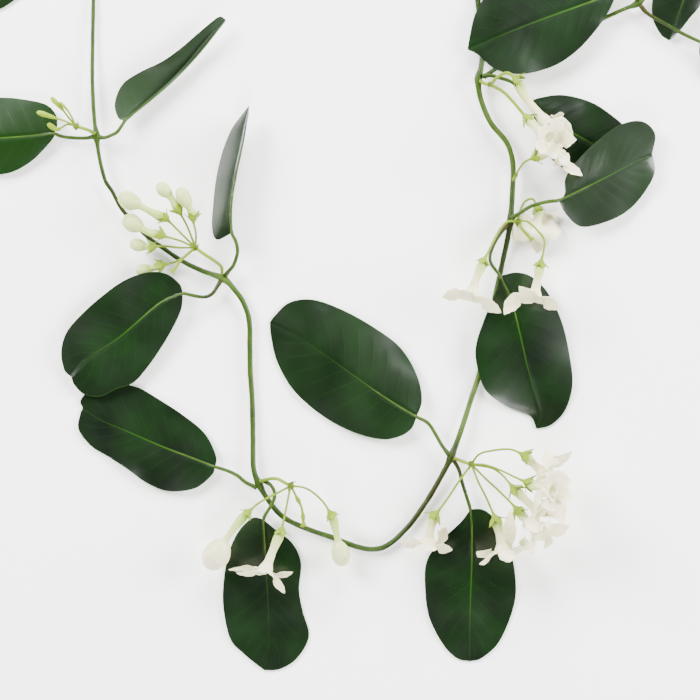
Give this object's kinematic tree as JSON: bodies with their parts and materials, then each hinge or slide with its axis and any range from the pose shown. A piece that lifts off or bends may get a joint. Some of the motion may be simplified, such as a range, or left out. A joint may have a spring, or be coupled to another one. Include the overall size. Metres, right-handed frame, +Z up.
{
  "type": "madagascar jasmine vine",
  "caption": "Cut strand of madagascar jasmine lying in a U: twining stem, leathery oval leaves in pairs, and umbels of waxy white trumpet flowers and buds.",
  "frame": {"origin": "centre of the strand's outline, on the surface that it lies on", "axes": "+Z up from the surface, +X to the right and +Y to the top of the picture, which looks down on the strand"},
  "size_m": [0.4505, 0.3717, 0.0512],
  "materials": {
    "leaf": "waxy dark green upper side, paler and duller below",
    "stem": "smooth green bark, olive brown in places",
    "stalk": "smooth lime green stalks and sepals",
    "corolla": "waxy warm white, pale green at the tube's foot",
    "bud": "waxy greenish white"
  },
  "bodies": {
    "root": {"stem_main": "stem", "side_shoot": "stem", "leaf_01": "leaf", "leaf_02": "leaf", "leaf_03": "leaf", "leaf_04": "leaf", "leaf_05": "leaf", "leaf_06": "leaf", "leaf_07": "leaf", "leaf_08": "leaf", "leaf_09": "leaf", "leaf_10": "leaf", "leaf_11": "leaf", "leaf_12": "leaf", "leaf_13": "leaf", "leaf_14": "leaf", "leaf_15": "leaf", "umbel_a": "stalk", "umbel_b": "stalk", "umbel_c": "stalk", "umbel_d": "stalk", "umbel_e": "stalk", "umbel_f": "stalk", "stalk_g": "stalk", "flower_c2": "corolla", "flower_d1": "corolla", "flower_d2": "corolla", "flower_d3": "corolla", "flower_d4": "corolla", "flower_d5": "corolla", "flower_d6": "corolla", "flower_e1": "corolla", "flower_e2": "corolla", "flower_e3": "corolla", "flower_f1": "corolla", "flower_f2": "corolla", "flower_f3": "corolla", "bud_b1": "bud", "bud_b2": "bud", "bud_b3": "bud", "bud_b4": "bud", "bud_b5": "bud", "bud_b6": "bud", "bud_c1": "bud", "bud_c3": "bud"}
  },
  "joints": []
}
